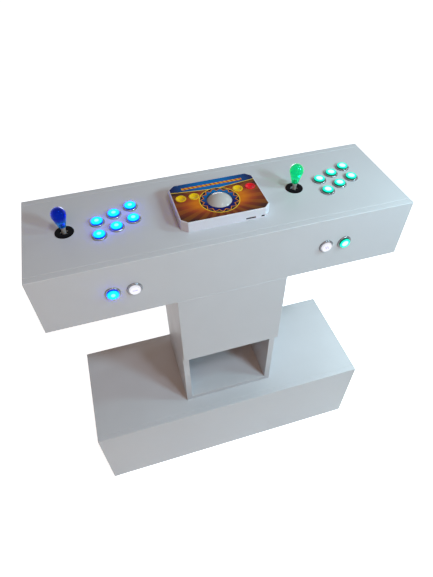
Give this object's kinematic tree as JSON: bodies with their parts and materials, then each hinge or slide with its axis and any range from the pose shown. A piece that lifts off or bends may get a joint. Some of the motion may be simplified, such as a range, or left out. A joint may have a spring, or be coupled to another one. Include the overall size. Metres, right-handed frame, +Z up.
{
  "type": "arcade cabinet",
  "caption": "Two-player arcade control cabinet: wide control box with tilting sticks, lit push buttons and a trackball, on a narrow column with an open bay, standing on a wide plinth.",
  "frame": {"origin": "on the floor, under the middle of the cabinet's outline", "axes": "+Z up; the player stands on the -Y side and faces +Y; +X to the player's right"},
  "size_m": [0.92, 0.346, 1.06],
  "materials": {
    "painted_board": "satin light grey paint",
    "dowel_beech": "bare",
    "zinc_steel": "zinc plated",
    "black_plastic": "moulded",
    "plated_plastic": "chrome plated",
    "white_plastic": "moulded",
    "overlay_film": "printed film",
    "circuit_board": "solder mask",
    "cable_jacket": "matt",
    "nylon": "moulded",
    "clear_blue": "tinted, translucent",
    "clear_green": "tinted, translucent",
    "lens_cyan": "lit from inside",
    "lens_mint": "lit from inside",
    "lens_white": "lit from inside",
    "lens_green": "lit from inside",
    "ball_resin": "polished",
    "key_yellow": "moulded",
    "key_red": "moulded"
  },
  "bodies": {
    "cabinet": {"top_panel": "painted_board", "front_panel": "painted_board", "rear_panel": "painted_board", "box_ends": "painted_board", "box_floor": "painted_board", "column_sides": "painted_board", "column_front": "painted_board", "column_back": "painted_board", "column_shelf": "painted_board", "base_top": "painted_board", "base_front": "painted_board", "base_back": "painted_board", "base_ends": "painted_board", "base_floor": "painted_board", "box_joint_dowels": "dowel_beech", "stand_joint_dowels": "dowel_beech", "screws": "zinc_steel", "stick_plates": "zinc_steel", "stick_housings": "black_plastic", "dust_washers": "black_plastic", "button_bezels": "plated_plastic", "button_nuts": "black_plastic", "button_switches": "black_plastic", "trackball_housing": "white_plastic", "trackball_base": "black_plastic", "trackball_overlay": "overlay_film", "trackball_board": "circuit_board", "trackball_cradle": "black_plastic", "game_board": "circuit_board", "wiring_loom": "cable_jacket", "power_inlet": "black_plastic"},
    "p1_pivot": {"pivot_ring_p1": "nylon"},
    "p1_stick": {"stick_shaft_p1": "zinc_steel", "bat_top_p1": "clear_blue"},
    "p2_pivot": {"pivot_ring_p2": "nylon"},
    "p2_stick": {"stick_shaft_p2": "zinc_steel", "bat_top_p2": "clear_green"},
    "p1_button_1": {"p1_button_1": "lens_cyan"},
    "p1_button_2": {"p1_button_2": "lens_cyan"},
    "p1_button_3": {"p1_button_3": "lens_cyan"},
    "p1_button_4": {"p1_button_4": "lens_cyan"},
    "p1_button_5": {"p1_button_5": "lens_cyan"},
    "p1_button_6": {"p1_button_6": "lens_cyan"},
    "p2_button_1": {"p2_button_1": "lens_mint"},
    "p2_button_2": {"p2_button_2": "lens_mint"},
    "p2_button_3": {"p2_button_3": "lens_mint"},
    "p2_button_4": {"p2_button_4": "lens_mint"},
    "p2_button_5": {"p2_button_5": "lens_mint"},
    "p2_button_6": {"p2_button_6": "lens_mint"},
    "p1_side_button": {"p1_side_button": "lens_cyan"},
    "p1_start_button": {"p1_start_button": "lens_white"},
    "p2_start_button": {"p2_start_button": "lens_white"},
    "p2_side_button": {"p2_side_button": "lens_green"},
    "trackball_key_1": {"trackball_key_1": "key_yellow"},
    "trackball_key_2": {"trackball_key_2": "key_yellow"},
    "trackball_key_3": {"trackball_key_3": "key_yellow"},
    "trackball_key_4": {"trackball_key_4": "key_red"},
    "ball": {"trackball_ball": "ball_resin"},
    "roller_x": {"trackball_roller_x": "zinc_steel"},
    "roller_y": {"trackball_roller_y": "zinc_steel"}
  },
  "joints": [
    {"name": "p1_tilt_fore_aft", "type": "hinge", "parent": "cabinet", "child": "p1_pivot", "pos_m": [-0.365, 0.01, 0.975], "axis": [1, 0, 0], "range_deg": [-9, 9], "stiffness_Nm_per_rad": 1},
    {"name": "p1_tilt_sideways", "type": "hinge", "parent": "p1_pivot", "child": "p1_stick", "pos_m": [-0.365, 0.01, 0.975], "axis": [0, 1, 0], "range_deg": [-9, 9], "stiffness_Nm_per_rad": 1},
    {"name": "p2_tilt_fore_aft", "type": "hinge", "parent": "cabinet", "child": "p2_pivot", "pos_m": [0.205, 0.01, 0.975], "axis": [1, 0, 0], "range_deg": [-9, 9], "stiffness_Nm_per_rad": 1},
    {"name": "p2_tilt_sideways", "type": "hinge", "parent": "p2_pivot", "child": "p2_stick", "pos_m": [0.205, 0.01, 0.975], "axis": [0, 1, 0], "range_deg": [-9, 9], "stiffness_Nm_per_rad": 1},
    {"name": "p1_button_1_press", "type": "slide", "parent": "cabinet", "child": "p1_button_1", "axis": [0, 0, -1], "range_m": [0, 0.003], "stiffness_N_per_m": 300, "springref_m": -0.002},
    {"name": "p1_button_2_press", "type": "slide", "parent": "cabinet", "child": "p1_button_2", "axis": [0, 0, -1], "range_m": [0, 0.003], "stiffness_N_per_m": 300, "springref_m": -0.002},
    {"name": "p1_button_3_press", "type": "slide", "parent": "cabinet", "child": "p1_button_3", "axis": [0, 0, -1], "range_m": [0, 0.003], "stiffness_N_per_m": 300, "springref_m": -0.002},
    {"name": "p1_button_4_press", "type": "slide", "parent": "cabinet", "child": "p1_button_4", "axis": [0, 0, -1], "range_m": [0, 0.003], "stiffness_N_per_m": 300, "springref_m": -0.002},
    {"name": "p1_button_5_press", "type": "slide", "parent": "cabinet", "child": "p1_button_5", "axis": [0, 0, -1], "range_m": [0, 0.003], "stiffness_N_per_m": 300, "springref_m": -0.002},
    {"name": "p1_button_6_press", "type": "slide", "parent": "cabinet", "child": "p1_button_6", "axis": [0, 0, -1], "range_m": [0, 0.003], "stiffness_N_per_m": 300, "springref_m": -0.002},
    {"name": "p2_button_1_press", "type": "slide", "parent": "cabinet", "child": "p2_button_1", "axis": [0, 0, -1], "range_m": [0, 0.003], "stiffness_N_per_m": 300, "springref_m": -0.002},
    {"name": "p2_button_2_press", "type": "slide", "parent": "cabinet", "child": "p2_button_2", "axis": [0, 0, -1], "range_m": [0, 0.003], "stiffness_N_per_m": 300, "springref_m": -0.002},
    {"name": "p2_button_3_press", "type": "slide", "parent": "cabinet", "child": "p2_button_3", "axis": [0, 0, -1], "range_m": [0, 0.003], "stiffness_N_per_m": 300, "springref_m": -0.002},
    {"name": "p2_button_4_press", "type": "slide", "parent": "cabinet", "child": "p2_button_4", "axis": [0, 0, -1], "range_m": [0, 0.003], "stiffness_N_per_m": 300, "springref_m": -0.002},
    {"name": "p2_button_5_press", "type": "slide", "parent": "cabinet", "child": "p2_button_5", "axis": [0, 0, -1], "range_m": [0, 0.003], "stiffness_N_per_m": 300, "springref_m": -0.002},
    {"name": "p2_button_6_press", "type": "slide", "parent": "cabinet", "child": "p2_button_6", "axis": [0, 0, -1], "range_m": [0, 0.003], "stiffness_N_per_m": 300, "springref_m": -0.002},
    {"name": "p1_side_button_press", "type": "slide", "parent": "cabinet", "child": "p1_side_button", "axis": [0, 1, 0], "range_m": [0, 0.003], "stiffness_N_per_m": 300, "springref_m": -0.002},
    {"name": "p1_start_button_press", "type": "slide", "parent": "cabinet", "child": "p1_start_button", "axis": [0, 1, 0], "range_m": [0, 0.003], "stiffness_N_per_m": 300, "springref_m": -0.002},
    {"name": "p2_start_button_press", "type": "slide", "parent": "cabinet", "child": "p2_start_button", "axis": [0, 1, 0], "range_m": [0, 0.003], "stiffness_N_per_m": 300, "springref_m": -0.002},
    {"name": "p2_side_button_press", "type": "slide", "parent": "cabinet", "child": "p2_side_button", "axis": [0, 1, 0], "range_m": [0, 0.003], "stiffness_N_per_m": 300, "springref_m": -0.002},
    {"name": "trackball_key_1_press", "type": "slide", "parent": "cabinet", "child": "trackball_key_1", "axis": [0, 0, -1], "range_m": [0, 0.002], "stiffness_N_per_m": 300, "springref_m": -0.002},
    {"name": "trackball_key_2_press", "type": "slide", "parent": "cabinet", "child": "trackball_key_2", "axis": [0, 0, -1], "range_m": [0, 0.002], "stiffness_N_per_m": 300, "springref_m": -0.002},
    {"name": "trackball_key_3_press", "type": "slide", "parent": "cabinet", "child": "trackball_key_3", "axis": [0, 0, -1], "range_m": [0, 0.002], "stiffness_N_per_m": 300, "springref_m": -0.002},
    {"name": "trackball_key_4_press", "type": "slide", "parent": "cabinet", "child": "trackball_key_4", "axis": [0, 0, -1], "range_m": [0, 0.002], "stiffness_N_per_m": 300, "springref_m": -0.002},
    {"name": "ball_roll", "type": "hinge", "parent": "cabinet", "child": "ball", "pos_m": [0, -0.014, 0.9934], "axis": [1, 0, 0], "continuous": true},
    {"name": "roller_x_spin", "type": "hinge", "parent": "cabinet", "child": "roller_x", "pos_m": [0, 0.02155, 0.96851], "axis": [1, 0, 0], "continuous": true},
    {"name": "roller_y_spin", "type": "hinge", "parent": "cabinet", "child": "roller_y", "pos_m": [0.03555, -0.014, 0.96851], "axis": [0, 1, 0], "continuous": true}
  ],
  "couplings": [
    {"joint": "roller_x_spin", "follows": "ball_roll", "ratio": -7.62}
  ]
}
